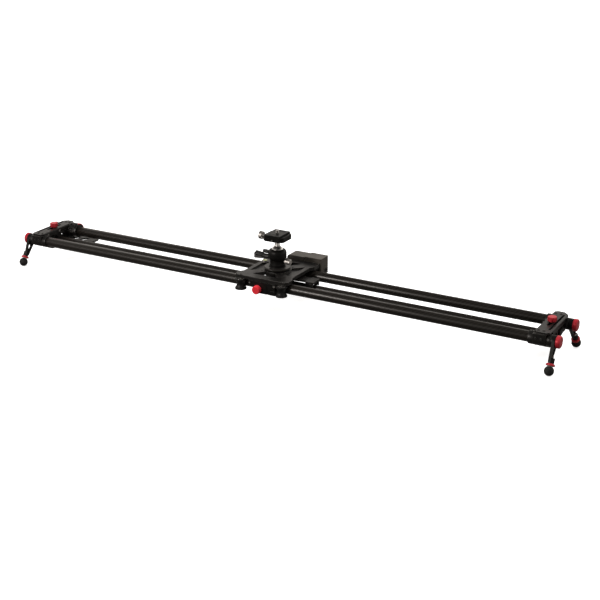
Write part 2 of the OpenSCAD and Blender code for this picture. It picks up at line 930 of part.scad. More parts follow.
module camera_screw() {
    pin_h = 5;
    shank_r = 2.7;
    translate([0, 0, qr_z + 0.2]) {
        cylinder(r = 7.2, h = 2.8);
        cylinder(r = shank_r, h = qr_top - qr_z);
    }
    translate([0, 0, qr_top]) cylinder(r = camera_screw_r, h = pin_h);
}

piece(carbon) rail_tube(-1);  // front_rail_tube
piece(carbon) rail_tube(1);  // back_rail_tube
piece(black) at_corner(-1, 1) end_plate();  // left_end_plate
piece(black) end_plate();  // right_end_plate
piece(black) rail_collars();
piece(black) leg_hubs();
piece(black) at_corner(-1, 1) tripod_bracket(80);  // left_tripod_bracket
piece(black) tripod_bracket(36);  // right_tripod_bracket
piece(steel) end_plate_screws();
piece(black) stop_collar();
piece(red) stop_buffer();
piece(carbon) guide_rod();
piece(black) rod_carriers();
piece(red) rod_knob(-1);  // left_rod_knob
piece(red) rod_knob(1);  // right_rod_knob
piece(black) leg(-1, -1);  // front_left_leg
piece(black) leg(1, -1);  // front_right_leg
piece(black) leg(-1, 1);  // back_left_leg
piece(black) leg(1, 1);  // back_right_leg
piece(red) leg_knob(-1, -1);  // front_left_knob
piece(red) leg_knob(1, -1);  // front_right_knob
piece(red) leg_knob(-1, 1);  // back_left_knob
piece(red) leg_knob(1, 1);  // back_right_knob
piece(rubber) foot(-1, -1);  // front_left_foot
piece(rubber) foot(1, -1);  // front_right_foot
piece(rubber) foot(-1, 1);  // back_left_foot
piece(rubber) foot(1, 1);  // back_right_foot
piece(red) lock_ring(-1, -1);  // front_left_lock_ring
piece(red) lock_ring(1, -1);  // front_right_lock_ring
piece(red) lock_ring(-1, 1);  // back_left_lock_ring
piece(red) lock_ring(1, 1);  // back_right_lock_ring
piece(nylon) roller(-1, -1);  // front_left_roller
piece(nylon) roller(1, -1);  // front_right_roller
piece(nylon) roller(-1, 1);  // back_left_roller
piece(nylon) roller(1, 1);  // back_right_roller
piece(black) carriage_plate();
piece(steel) roller_axles();
piece(black) brake_housing();
piece(red) brake_knob();
piece(rubber) brake_pad();
piece(black) motor_housing();
piece(black) control_housing();
piece(steel) gear_motor();
piece(rubber) drive_wheel();
piece(nylon) power_inlet();
piece(steel) spirit_level();
piece(black) turntable();
piece(black) swing_arm();
piece(black) head_base();
piece(black) head_body();
piece(steel) ball();
piece(steel) neck();
piece(black) lock_knob();
piece(black) tension_knob();
piece(steel) pan_knob();
piece(black) clamp_body();
piece(black) clamp_jaw();
piece(steel) clamp_knob();
piece(black) quick_release_plate();
piece(steel) camera_screw();
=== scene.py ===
"""Looks of the camera slider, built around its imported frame. Lengths are in metres."""

import json
import math

import bmesh
import bpy
from mathutils import Matrix, Vector


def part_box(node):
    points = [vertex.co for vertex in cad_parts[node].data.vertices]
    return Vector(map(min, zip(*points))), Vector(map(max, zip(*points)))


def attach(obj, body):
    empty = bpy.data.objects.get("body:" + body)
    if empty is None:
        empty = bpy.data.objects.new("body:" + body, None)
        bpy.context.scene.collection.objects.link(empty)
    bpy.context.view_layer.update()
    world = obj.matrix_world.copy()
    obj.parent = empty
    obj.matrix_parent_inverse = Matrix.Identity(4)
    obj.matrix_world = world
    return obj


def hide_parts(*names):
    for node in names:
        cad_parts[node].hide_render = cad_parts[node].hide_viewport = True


MM = 0.001
TAU = 2 * math.pi
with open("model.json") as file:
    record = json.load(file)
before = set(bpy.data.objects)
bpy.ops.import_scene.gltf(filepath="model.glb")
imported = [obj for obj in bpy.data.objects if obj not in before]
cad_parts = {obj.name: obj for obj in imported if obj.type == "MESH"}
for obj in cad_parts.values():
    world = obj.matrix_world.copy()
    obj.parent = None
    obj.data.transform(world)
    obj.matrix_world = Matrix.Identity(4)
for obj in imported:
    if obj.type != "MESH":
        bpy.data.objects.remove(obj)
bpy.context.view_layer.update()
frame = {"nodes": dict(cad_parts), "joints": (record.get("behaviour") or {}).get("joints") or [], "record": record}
nodes = frame["nodes"]


def middle(node):
    """Middle of a node's box."""
    low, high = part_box(node)
    return (low + high) / 2


# ---------------------------------------------------------------- materials

class Shader:
    """A material's node tree, with a short call for each kind of node that is used here."""

    def __init__(self, name):
        self.material = bpy.data.materials.new(name)
        self.material.use_nodes = True
        self.tree = self.material.node_tree
        self.bsdf = self.tree.nodes["Principled BSDF"]
        self.place = self.node("ShaderNodeTexCoord").outputs["Object"]

    def node(self, kind, **settings):
        made = self.tree.nodes.new(kind)
        for key, value in settings.items():
            setattr(made, key, value)
        return made

    def link(self, source, target):
        self.tree.links.new(source, target)

    def feed(self, socket, value):
        """Links a socket to an output, or sets its constant."""
        if isinstance(value, bpy.types.NodeSocket):
            self.link(value, socket)
        elif socket.type == "RGBA" and len(value) == 3:
            socket.default_value = (*value, 1)
        else:
            socket.default_value = value

    def math(self, operation, a, b=0.0):
        made = self.node("ShaderNodeMath", operation=operation)
        for socket, value in zip(made.inputs, (a, b)):
            self.feed(socket, value)
        return made.outputs[0]

    def axes(self, vector=None):
        split = self.node("ShaderNodeSeparateXYZ")
        self.link(vector or self.place, split.inputs[0])
        return split.outputs

    def noise(self, size, detail=2.0, rough=0.5, stretch=(1, 1, 1)):
        """Noise with features about size across; stretch above 1 draws them out along an axis."""
        mapping = self.node("ShaderNodeMapping")
        self.link(self.place, mapping.inputs["Vector"])
        mapping.inputs["Scale"].default_value = [1 / (size * k) for k in stretch]
        made = self.node("ShaderNodeTexNoise")
        self.link(mapping.outputs[0], made.inputs["Vector"])
        made.inputs["Scale"].default_value = 1
        made.inputs["Detail"].default_value = detail
        made.inputs["Roughness"].default_value = rough
        return made.outputs["Fac"]

    def between(self, value, low, high, start=0.0, end=1.0):
        """value from low..high mapped to start..end and held at the ends."""
        made = self.node("ShaderNodeMapRange")
        for socket, number in zip(made.inputs, (value, low, high, start, end)):
            self.feed(socket, number)
        return made.outputs[0]

    def blend(self, factor, a, b):
        made = self.node("ShaderNodeMix", data_type="RGBA")
        self.feed(made.inputs["Factor"], factor)
        self.feed(made.inputs[6], a)
        self.feed(made.inputs[7], b)
        return made.outputs[2]

    def bump(self, height, distance, strength=1.0, after=None):
        made = self.node("ShaderNodeBump")
        made.inputs["Strength"].default_value = strength
        made.inputs["Distance"].default_value = distance
        self.link(height, made.inputs["Height"])
        if after:
            self.link(after, made.inputs["Normal"])
        return made.outputs[0]

    def edges(self, width):
        """1 on sharp edges, 0 on flat faces."""
        flat_dot, edge_dot = 0.99, 0.86
        rounded = self.node("ShaderNodeBevel", samples=4)
        rounded.inputs["Radius"].default_value = width
        plain = self.node("ShaderNodeNewGeometry").outputs["Normal"]
        dot = self.node("ShaderNodeVectorMath", operation="DOT_PRODUCT")
        self.link(rounded.outputs[0], dot.inputs[0])
        self.link(plain, dot.inputs[1])
        return self.between(dot.outputs["Value"], flat_dot, edge_dot)

    def set(self, **sockets):
        """Sets the surface's sockets; a name's underscores stand for spaces."""
        for key, value in sockets.items():
            self.feed(self.bsdf.inputs[key.replace("_", " ")], value)
        return self.material


def carbon_tube():
    """Twill weave around a tube that lies along X, under a satin lacquer."""
    s = Shader("carbon_tube")
    tow = 2.2 * MM
    tows_around = 28
    float_length = 4
    weft_tone, warp_tone = (0.006, 0.0048, 0.0038), (0.0125, 0.0102, 0.0083)
    gap_tone, cloud_tone = (0.002, 0.002, 0.002), (0.0145, 0.012, 0.0095)
    box = s.axes(s.node("ShaderNodeTexCoord").outputs["Generated"])
    angle = s.math("ARCTAN2", s.math("SUBTRACT", box[2], 0.5), s.math("SUBTRACT", box[1], 0.5))
    u = s.math("MULTIPLY", s.axes()[0], 1 / tow)
    v = s.math("MULTIPLY", angle, tows_around / TAU)
    column = s.math("FLOOR", u)
    row = s.math("FLOOR", v)
    phase = s.math("FLOORED_MODULO", s.math("ADD", column, row), float_length)
    warp = s.math("LESS_THAN", phase, float_length / 2 - 0.5)
    across_u = s.math("PINGPONG", u, 0.5)
    across_v = s.math("PINGPONG", v, 0.5)
    crown = s.math("ADD", s.math("MULTIPLY", warp, across_v),
                   s.math("MULTIPLY", s.math("SUBTRACT", 1, warp), across_u))
    streaks = s.noise(0.25 * MM, stretch=(8, 1, 1))
    cloud = s.noise(40 * MM, detail=3)
    tone = s.blend(warp, weft_tone, warp_tone)
    tone = s.blend(s.between(crown, 0.0, 0.12, 0.55, 0), tone, gap_tone)
    tone = s.blend(s.between(cloud, 0.35, 0.7, 0, 0.35), tone, cloud_tone)
    rough = s.between(s.math("ADD", s.math("MULTIPLY", warp, 0.3), streaks), 0.2, 1.1, 0.3, 0.42)
    lift = s.bump(crown, 0.05 * MM, 0.15)
    fine = s.bump(streaks, 0.01 * MM, 0.15, after=lift)
    return s.set(Base_Color=tone, Roughness=rough, Normal=fine, Specular_IOR_Level=0.4,
                 Coat_Weight=0.3, Coat_Roughness=0.3, Coat_Normal=s.bump(cloud, 0.1 * MM, 0.1))


def anodised(name, dark, light, worn_and_highlight_tone, rough, wear_and_highlight_share=1.0, metal=0.0, specular=0.4):
    """Bead-blasted anodised aluminium, a little brighter on its sharp edges: partly rubbed wear, partly a painted
    edge highlight.
    """
    s = Shader(name)
    blast = s.noise(0.22 * MM, detail=3, rough=0.6)
    cloud = s.noise(18 * MM, detail=4)
    # Sharp edges mixed towards a pale tone: rubbed wear and a painted edge highlight.
    rubbed_and_lit_edges = s.math("MULTIPLY", s.edges(0.5 * MM), s.between(s.noise(4 * MM), 0.35, 0.65, 0.35, 1))
    tone = s.blend(s.between(cloud, 0.3, 0.7), dark, light)
    tone = s.blend(s.math("MULTIPLY", rubbed_and_lit_edges, wear_and_highlight_share), tone, worn_and_highlight_tone)
    gloss = s.math("ADD", s.between(blast, 0.3, 0.7, rough - 0.05, rough + 0.05),
                   s.between(cloud, 0.3, 0.7, -0.03, 0.03))
    return s.set(Base_Color=tone, Roughness=gloss, Metallic=metal, Specular_IOR_Level=specular,
                 Normal=s.bump(blast, 0.03 * MM, 0.4))


def powder_coat():
    """Fine-grained black powder coat of the housings, its edges paler from wear and a painted highlight."""
    s = Shader("black_case")
    dark, light, worn_and_highlight_tone = (0.052, 0.0455, 0.038), (0.066, 0.058, 0.049), (0.13, 0.12, 0.105)
    grain = s.noise(0.5 * MM, detail=4, rough=0.65)
    cloud = s.noise(25 * MM, detail=3)
    tone = s.blend(s.between(cloud, 0.3, 0.7), dark, light)
    # Edges mixed half way to a pale tone: rubbed wear and a painted edge highlight.
    tone = s.blend(s.math("MULTIPLY", s.edges(0.5 * MM), 0.5), tone, worn_and_highlight_tone)
    return s.set(Base_Color=tone, Roughness=s.between(grain, 0.3, 0.7, 0.46, 0.6),
                 Specular_IOR_Level=0.4, Normal=s.bump(grain, 0.06 * MM, 0.5))


def bare_metal(name, tone, rough, brushed=(1, 1, 1)):
    """Turned or plated metal with fine marks, slight stains and a painted highlight on its sharp edges."""
    s = Shader(name)
    marks = s.noise(0.3 * MM, detail=3, stretch=brushed)
    stain = s.noise(6 * MM, detail=4)
    shade = [0.72 * c for c in tone]
    painted_edge_shine = [min(1, 1.15 * c) for c in tone]
    colour = s.blend(s.between(stain, 0.35, 0.7, 0, 0.5), tone, shade)
    # Painted highlight: sharp edges mixed towards a brighter copy of the metal's tone.
    colour = s.blend(s.math("MULTIPLY", s.edges(0.3 * MM), 0.4), colour, painted_edge_shine)
    return s.set(Base_Color=colour, Metallic=1.0,
                 Roughness=s.between(marks, 0.25, 0.75, rough * 0.75, rough * 1.3),
                 Normal=s.bump(marks, 0.01 * MM, 0.3))


def polymer(name, dark, light, rough, grain, depth, specular=0.4):
    """Moulded plastic or rubber with a fine grain and a dusty variation in its gloss."""
    s = Shader(name)
    skin = s.noise(grain, detail=3, rough=0.6)
    dust = s.noise(9 * MM, detail=4)
    tone = s.blend(s.between(dust, 0.35, 0.7), dark, light)
    gloss = s.math("ADD", s.between(skin, 0.3, 0.7, rough - 0.04, rough + 0.04),
                   s.between(dust, 0.3, 0.7, -0.04, 0.05))
    return s.set(Base_Color=tone, Roughness=gloss, Specular_IOR_Level=specular,
                 Normal=s.bump(skin, depth, 0.5))


def vial_fluid():
    """Yellow-green fluid under a clear lens."""
    s = Shader("vial")
    depth = s.noise(2 * MM, detail=2)
    return s.set(Base_Color=s.blend(depth, (0.42, 0.5, 0.06), (0.5, 0.58, 0.1)), Roughness=0.12,
                 Transmission_Weight=0.35, IOR=1.46, Coat_Weight=0.8, Coat_Roughness=0.05)


LOOKS = {
    "carbon_tube": carbon_tube(),
    "black_anodised": anodised(
        "black_anodised", dark=(0.0052, 0.0048, 0.0044), light=(0.0085, 0.0077, 0.007),
        worn_and_highlight_tone=(0.19, 0.175, 0.16), rough=0.4, specular=0.48),
    "black_case": powder_coat(),
    "red_anodised": anodised(
        "red_anodised", dark=(0.45, 0.018, 0.03), light=(0.54, 0.03, 0.045),
        worn_and_highlight_tone=(0.85, 0.25, 0.25), rough=0.36, wear_and_highlight_share=0.5, metal=0.25),
    # A brighter copy of the red for the front-lit brake knob: its extra brightness is painted light.
    "red_bright": anodised(
        "red_bright", dark=(0.86, 0.035, 0.05), light=(0.92, 0.05, 0.07),
        worn_and_highlight_tone=(0.9, 0.3, 0.3), rough=0.42, wear_and_highlight_share=0.3, specular=0.3),
    # A brighter copy of the black anodising for the turntable: its paler tone and bright edges paint the disc
    # rim's highlight.
    "turntable_black_painted_rim_highlight": anodised(
        "turntable_black_painted_rim_highlight", dark=(0.014, 0.0127, 0.0113), light=(0.021, 0.019, 0.017),
        worn_and_highlight_tone=(0.3, 0.28, 0.26), rough=0.36, metal=0.2, specular=0.55),
    # A darker copy of the black anodising, with a weaker edge tone: painted shade on the parts listed below.
    "black_painted_shade": anodised(
        "black_painted_shade", dark=(0.004, 0.0038, 0.0036), light=(0.007, 0.0066, 0.0062),
        worn_and_highlight_tone=(0.07, 0.066, 0.062), rough=0.4, wear_and_highlight_share=0.8, specular=0.2),
    "steel": bare_metal("steel", tone=(0.58, 0.57, 0.55), rough=0.3, brushed=(1, 1, 6)),
    "nickel": bare_metal("nickel", tone=(0.64, 0.62, 0.6), rough=0.45),
    "chrome": bare_metal("chrome", tone=(0.92, 0.91, 0.89), rough=0.3),
    "black_plastic": polymer(
        "black_plastic", dark=(0.012, 0.012, 0.013), light=(0.018, 0.018, 0.018),
        rough=0.45, grain=0.5 * MM, depth=0.05 * MM),
    "roller_nylon": polymer(
        "roller_nylon", dark=(0.006, 0.006, 0.006), light=(0.01, 0.01, 0.0095),
        rough=0.42, grain=0.3 * MM, depth=0.02 * MM, specular=0.3),
    "rubber": polymer(
        "rubber", dark=(0.01, 0.01, 0.01), light=(0.02, 0.019, 0.018),
        rough=0.62, grain=0.35 * MM, depth=0.06 * MM, specular=0.3),
    "red_rubber": polymer(
        "red_rubber", dark=(0.4, 0.02, 0.035), light=(0.5, 0.035, 0.05),
        rough=0.6, grain=0.4 * MM, depth=0.05 * MM),
    "vial": vial_fluid(),
    "bubble": polymer(
        "bubble", dark=(0.75, 0.8, 0.5), light=(0.8, 0.85, 0.6),
        rough=0.15, grain=0.5 * MM, depth=0.005 * MM),
    "black_screw": anodised(
        "black_screw", dark=(0.012, 0.012, 0.012), light=(0.02, 0.019, 0.018),
        worn_and_highlight_tone=(0.2, 0.19, 0.18), rough=0.34, metal=0.3),
}


# ------------------------------------------------ CAD nodes: finish and edges

SMOOTH_ANGLE = math.radians(32)
FLAT_ANGLE = math.radians(0.4)
WELD_DISTANCE = 0.002 * MM
EDGE_ROUND = 0.35 * MM
EDGE_SEGMENTS = 2


def round_edges(obj):
    """Joins the imported faces and rounds their sharp edges."""
    weld = obj.modifiers.new("weld", "WELD")
    weld.merge_threshold = WELD_DISTANCE
    flat = obj.modifiers.new("flat", "DECIMATE")
    flat.decimate_type = "DISSOLVE"
    flat.angle_limit = FLAT_ANGLE
    bevel = obj.modifiers.new("bevel", "BEVEL")
    bevel.width = EDGE_ROUND
    bevel.segments = EDGE_SEGMENTS
    bevel.limit_method = "ANGLE"
    bevel.angle_limit = SMOOTH_ANGLE


# Parts given the darker copy of the black anodising as painted shade.
PAINTED_SHADE_PARTS = ("head_body", "head_base", "clamp_body", "clamp_jaw", "quick_release_plate",
          "brake_housing", "front_left_leg", "front_right_leg", "back_left_leg",
          "back_right_leg", "left_tripod_bracket", "right_tripod_bracket")
LOOK_OF = dict.fromkeys(PAINTED_SHADE_PARTS, "black_painted_shade")
LOOK_OF |= {"brake_knob": "red_bright", "turntable": "turntable_black_painted_rim_highlight"}

for part in frame["record"]["subparts"]:
    cad = nodes[part["node"]]
    look = LOOK_OF.get(part["node"], part["material_slot"])
    cad.data.materials.clear()
    cad.data.materials.append(LOOKS[look])
    round_edges(cad)


# ------------------------------------------------------------- mesh builders

MERGE_DISTANCE = 1e-7
SCREW_STEPS = 36


def revolved(rings, steps=48):
    """Closed mesh about Z from rings of (radius, height); a radius may depend on the angle."""
    mesh = bmesh.new()
    rows = []
    for radius, height in rings:
        if not callable(radius) and radius == 0:
            rows.append([mesh.verts.new((0, 0, height))])
            continue
        row = []
        for i in range(steps):
            angle = TAU * i / steps
            r = radius(angle) if callable(radius) else radius
            row.append(mesh.verts.new((r * math.cos(angle), r * math.sin(angle), height)))
        rows.append(row)
    for below, above in zip(rows, rows[1:]):
        for i in range(steps):
            j = (i + 1) % steps
            corners = [below[i % len(below)], below[j % len(below)],
                       above[j % len(above)], above[i % len(above)]]
            corners = list(dict.fromkeys(corners))
            if len(corners) > 2:
                mesh.faces.new(corners)
    bmesh.ops.remove_doubles(mesh, verts=mesh.verts, dist=MERGE_DISTANCE)
    bmesh.ops.recalc_face_normals(mesh, faces=mesh.faces)
    return mesh


def hexagon(flat):
    """Radius of a hexagon whose flats are this far from its middle."""
    return lambda angle: flat / math.cos(angle % (TAU / 6) - TAU / 12)


def facing(axis, at):
    """Matrix that puts a mesh built about +Z at a point, with +Z along the axis."""
    turn = Vector(axis).to_track_quat("Z", "Y").to_matrix().to_4x4()
    return Matrix.Translation(Vector(at)) @ turn


def joined(meshes, matrices):
    """One mesh with a copy of each mesh at its matrix."""
    whole = bmesh.new()
    for mesh, matrix in zip(meshes, matrices):
        copy = mesh.copy()
        copy.transform(matrix)
        data = bpy.data.meshes.new("part")
        copy.to_mesh(data)
        copy.free()
        whole.from_mesh(data)
        bpy.data.meshes.remove(data)
    return whole


def make(name, mesh, slot, body, replaced=None):
    """Turns a mesh into a piece with a material that rides on a body."""
    data = bpy.data.meshes.new(name)
    mesh.to_mesh(data)
    mesh.free()
    data.polygons.foreach_set("use_smooth", [True] * len(data.polygons))
    data.set_sharp_from_angle(angle=SMOOTH_ANGLE)
    piece = bpy.data.objects.new(name, data)
    bpy.context.scene.collection.objects.link(piece)
    data.materials.append(LOOKS[slot])
    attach(piece, body)
    if replaced:
        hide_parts(replaced)


def socket_head(radius, height, flat):
    """Cap screw head with a chamfered rim and a hexagon socket."""
    rim = 0.14 * radius
    depth = 0.6 * height
    return revolved([
        (0, 0), (radius, 0), (radius, height - rim), (radius - rim, height),
        (hexagon(flat), height), (hexagon(flat), height - depth), (0, height - 1.2 * depth),
    ], SCREW_STEPS)


def button_head(radius, height, flat):
    """Low domed screw head with a hexagon socket."""
    dome_angles = (0.0, 0.35, 0.7, 1.0)
    dome = [(radius * math.cos(a), height * math.sin(a)) for a in dome_angles]
    top = dome[-1][1]
    return revolved([(0, 0)] + dome + [
        (hexagon(flat), top), (hexagon(flat), 0.3 * height), (0, 0.2 * height),
    ], SCREW_STEPS)


def threaded(radius, length, pitch, depth, steps=40):
    """Rod along Z with a helical thread and chamfered ends."""
    rows_per_turn = 6
    rows = round(length / pitch * rows_per_turn)

    def groove(height):
        def radius_at(angle):
            phase = (height / pitch - angle / TAU) % 1
            return radius - depth * 2 * abs(phase - 0.5)
        return radius_at

    core = radius - depth
    rings = [(0, 0), (core, 0)]
    rings += [(groove(length * k / rows), length * k / rows) for k in range(1, rows)]
    return revolved(rings + [(core, length), (0, length)], steps)


def knurled(radius, length, count, depth, chamfer, dish):
    """Knob about Z with a diamond knurl, chamfered ends and a dished face."""
    rows = round(length / (TAU * radius / count))
    steps = 4 * count
    inner = radius - chamfer - depth

    def ridge(row):
        def radius_at(angle):
            one = (angle / TAU * count + row / 2) % 1
            two = (angle / TAU * count - row / 2) % 1
            return radius - depth * max(abs(one - 0.5), abs(two - 0.5))
        return radius_at

    low, high = chamfer, length - chamfer
    rings = [(0, 0), (inner, 0)]
    rings += [(ridge(k / 2), low + (high - low) * k / (2 * rows)) for k in range(2 * rows + 1)]
    lip, floor, dimple = radius * 0.72, radius * 0.66, radius * 0.2
    rings += [(inner, length), (lip, length), (floor, length - dish),
              (dimple, length - dish), (0, length - 1.3 * dish)]
    return revolved(rings, steps)


def lobed(profile, lobes, depth, steps=96):
    """Knob about Z with a waved rim, from rings of (radius, share of the wave, height)."""
    def wave(radius, share):
        return lambda angle: radius - depth * share * (0.5 + 0.5 * math.cos(lobes * angle)) ** 2
    rings = [(wave(radius, share) if radius else 0, height) for radius, share, height in profile]
    return revolved(rings, steps)


# ---------------------------------------------------------- fasteners, frame

rail_ys = [middle("front_rail_tube").y, middle("back_rail_tube").y]
rail_z = middle("front_rail_tube").z
LEFT, RIGHT = (-1, 0, 0), (1, 0, 0)
FRONT, BACK = (0, -1, 0), (0, 1, 0)
DOWN, UP = (0, 0, -1), (0, 0, 1)
SIDES = (-1, 1)


def frame_screws():
    """Button heads over the clamp blocks and cap screws in the inner lips."""
    low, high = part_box("right_end_plate")
    plate_x = low.x
    columns = (plate_x + 6 * MM, plate_x + 16 * MM)
    heads = [(side * x, y, high.z) for y in rail_ys for side in SIDES for x in columns]
    mesh = button_head(radius=3.1 * MM, height=1.1 * MM, flat=1.2 * MM)
    make("end_plate_button_screws", joined([mesh] * len(heads), [facing(UP, at) for at in heads]),
         "black_screw", "frame")

    low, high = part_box("end_plate_screws")
    radius = 2.6 * MM
    screw = socket_head(radius, height=2.3 * MM, flat=1.15 * MM)
    matrices = []
    for side in SIDES:
        for y in (low.y + radius, high.y - radius):
            matrices.append(facing((-side, 0, 0), (side * plate_x, y, (low.z + high.z) / 2)))
    make("lip_cap_screws", joined([screw] * 4, matrices), "steel", "frame", "end_plate_screws")

    pinch = socket_head(radius=2.2 * MM, height=1.8 * MM, flat=1.0 * MM)
    block_face, above_rail = rail_ys[0] - 12.4 * MM, rail_z + 4 * MM
    matrices = [facing(FRONT, (side * x, block_face, above_rail))
                for side in SIDES for x in columns]
    make("rail_pinch_screws", joined([pinch] * 4, matrices), "black_screw", "frame")


def collar_screws():
    """Grub screw heads in the three rail collars."""
    mesh = socket_head(radius=1.6 * MM, height=0.8 * MM, flat=0.8 * MM)
    low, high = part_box("rail_collars")
    half_width, sunk = 4.5 * MM, 0.3 * MM
    x = low.x + half_width
    top = rail_z + (high.z - low.z) / 2 - sunk
    matrices = [facing(UP, (side * x, rail_ys[0], top)) for side in SIDES]
    matrices.append(facing(UP, (-x, rail_ys[1], top)))
    make("collar_grub_screws", joined([mesh] * 3, matrices), "black_screw", "frame")


# ------------------------------------------------------------------- legs

CORNERS = ("front_left", "front_right", "back_left", "back_right")


def leg_axis(leg):
    """Bottom end of a leg's foot axis and the unit vector up along the leg."""
    ring = next(joint for joint in frame["joints"] if joint["name"] == f"{leg}_lock_ring_turn")
    at = Vector(ring["pos_m"])
    return at, -Vector(ring["axis"]).normalized()


def foot_pieces(leg):
    """Rubber ball with a moulding ring, on a threaded steel stud."""
    low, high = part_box(f"{leg}_foot")
    radius = (high.x - low.x) / 2
    at, up = leg_axis(leg)
    ball_at = at + up * ((low.z + radius - at.z) / up.z)
    bands = 24
    seam_depth = 0.18 * MM
    rings = [(0, -radius)]
    for k in range(1, bands):
        angle = math.pi * k / bands
        rings.append((radius * math.sin(angle), -radius * math.cos(angle)))
        if k == bands // 2:
            rings[-1:] = [(radius, -0.4 * MM), (radius - seam_depth, -0.15 * MM),
                          (radius - seam_depth, 0.15 * MM), (radius, 0.4 * MM)]
    rings += [(0, radius)]
    make(f"{leg}_foot_ball", joined([revolved(rings, 64)], [facing(up, ball_at)]), "rubber",
         f"{leg}_foot", f"{leg}_foot")
    collar = revolved([(0, 0), (4.6 * MM, 0), (4.6 * MM, 1.2 * MM),
                       (3.6 * MM, 2.2 * MM), (0, 2.2 * MM)])
    sunk, collar_lift = 2 * MM, 0.2 * MM
    length = (high.z - low.z - radius) / up.z - 1 * MM
    stud = threaded(2.95 * MM, length - radius + sunk, pitch=1.0 * MM, depth=0.45 * MM)
    bottom = ball_at + up * (radius - sunk)
    make(f"{leg}_foot_stud",
         joined([stud, collar], [facing(up, bottom), facing(up, bottom + up * collar_lift)]),
         "steel", f"{leg}_foot")


def leg_cap(leg):
    """Turned rings and a centre dimple on the clamp knob's outer face."""
    low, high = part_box(f"{leg}_knob")
    side = 1 if "right" in leg else -1
    at = Vector((side * max(abs(low.x), abs(high.x)), (low.y + high.y) / 2, (low.z + high.z) / 2))
    radius = (high.z - low.z) / 2
    rings = [(0, -0.6 * MM), (0.76 * radius, -0.6 * MM), (0.76 * radius, -0.05 * MM),
             (0.74 * radius, 0), (0.7 * radius, 0), (0.68 * radius, -0.12 * MM),
             (0.3 * radius, -0.12 * MM), (0.27 * radius, 0), (0.23 * radius, 0),
             (0.2 * radius, -0.15 * MM), (0, -0.2 * MM)]
    make(f"{leg}_knob_face", joined([revolved(rings, 72)], [facing((side, 0, 0), at)]),
         "red_anodised", f"{leg}_knob")


# ---------------------------------------------------------------- carriage

def carriage_screws():
    """Screw heads on the plate, in the brake housing and on the two boxes."""
    _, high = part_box("carriage_plate")
    mid = middle("turntable")
    corner_x = middle("front_right_roller").x
    corners = [(side * corner_x, middle(f"{row}_left_roller").y, high.z)
               for side in SIDES for row in ("front", "back")]
    big = button_head(radius=3.0 * MM, height=1.0 * MM, flat=1.2 * MM)
    ring_radius = 31 * MM
    ring = [(mid.x + ring_radius * math.cos(a), mid.y + ring_radius * math.sin(a), high.z)
            for a in (TAU * (k + 0.5) / 4 for k in range(4))]
    small = button_head(radius=2.0 * MM, height=0.8 * MM, flat=0.9 * MM)
    make("carriage_plate_screws",
         joined([big] * 4 + [small] * 4, [facing(UP, at) for at in corners + ring]),
         "black_screw", "carriage")

    low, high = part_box("brake_housing")
    heads = [socket_head(radius=2.4 * MM, height=1.1 * MM, flat=1.1 * MM),
             socket_head(radius=1.8 * MM, height=1.0 * MM, flat=0.9 * MM)]
    places = [(high.x - 2.8 * MM, low.y + 0.8 * MM, high.z - 4.1 * MM),
              (low.x + 4 * MM, low.y + 1.5 * MM, high.z - 5 * MM)]
    make("brake_housing_screws", joined(heads, [facing(FRONT, at) for at in places]),
         "steel", "carriage")

    screws = []
    for node in ("motor_housing", "control_housing"):
        low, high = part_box(node)
        for x in (low.x + 7 * MM, high.x - 5 * MM):
            for z in (low.z + 4.5 * MM, high.z - 5 * MM):
                screws.append(facing(BACK, (x, high.y - 0.1 * MM, z)))
    head = socket_head(radius=1.9 * MM, height=0.9 * MM, flat=0.85 * MM)
    make("housing_screws", joined([head] * len(screws), screws), "black_screw", "carriage")


def roller_bearings(corner):
    """Bearing shield and inner race on both faces of a roller."""
    low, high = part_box(f"{corner}_roller")
    mid = middle(f"{corner}_roller")
    radius = (high.x - low.x) / 2
    race = revolved([(3.4 * MM, -0.3 * MM), (3.4 * MM, 0.12 * MM), (4.4 * MM, 0.12 * MM),
                     (4.5 * MM, 0.02 * MM), (0.62 * radius, 0.02 * MM),
                     (0.64 * radius, 0.12 * MM), (0.72 * radius, 0.12 * MM),
                     (0.74 * radius, -0.3 * MM), (3.4 * MM, -0.3 * MM)])
    make(f"{corner}_roller_bearings",
         joined([race, race], [facing(UP, (mid.x, mid.y, high.z)),
                               facing(DOWN, (mid.x, mid.y, low.z))]),
         "steel", f"{corner}_roller")


def level():
    """Round spirit level: plated rim, tinted fluid under a lens, and its bubble."""
    low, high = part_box("spirit_level")
    mid = middle("spirit_level")
    base = (mid.x, mid.y, low.z)
    radius = (high.x - low.x) / 2
    tall = high.z - low.z
    rim = revolved([(0, 0), (radius, 0), (radius, tall - 0.5 * MM), (radius - 0.5 * MM, tall),
                    (radius - 1.0 * MM, tall), (radius - 1.2 * MM, tall - 0.5 * MM),
                    (radius - 1.2 * MM, 0.8 * MM), (0, 0.8 * MM)])
    make("spirit_level_rim", joined([rim], [facing(UP, base)]), "nickel", "carriage",
         "spirit_level")
    window = radius - 1.25 * MM
    lens = [(0, 0.85 * MM), (window, 0.85 * MM)]
    lens += [(window * math.cos(a), tall - 0.9 * MM + 0.6 * MM * math.sin(a))
             for a in (0, 0.4, 0.8, 1.2)]
    make("spirit_level_lens", joined([revolved(lens + [(0, tall - 0.3 * MM)])], [facing(UP, base)]),
         "vial", "carriage")
    ring = revolved([(1.75 * MM, 0), (1.9 * MM, 0), (1.9 * MM, 0.06 * MM),
                     (1.75 * MM, 0.06 * MM), (1.75 * MM, 0)])
    bubble = revolved([(0, 0), (1.3 * MM, 0), (1.2 * MM, 0.12 * MM),
                       (0.8 * MM, 0.22 * MM), (0, 0.26 * MM)])
    top = low.z + tall - 0.42 * MM
    make("spirit_level_bubble", joined([bubble], [facing(UP, (mid.x + 0.3 * MM, mid.y, top))]),
         "bubble", "carriage")
    make("spirit_level_ring", joined([ring], [facing(UP, (mid.x, mid.y, top + 0.02 * MM))]),
         "black_screw", "carriage")


# --------------------------------------------------------------- ball head

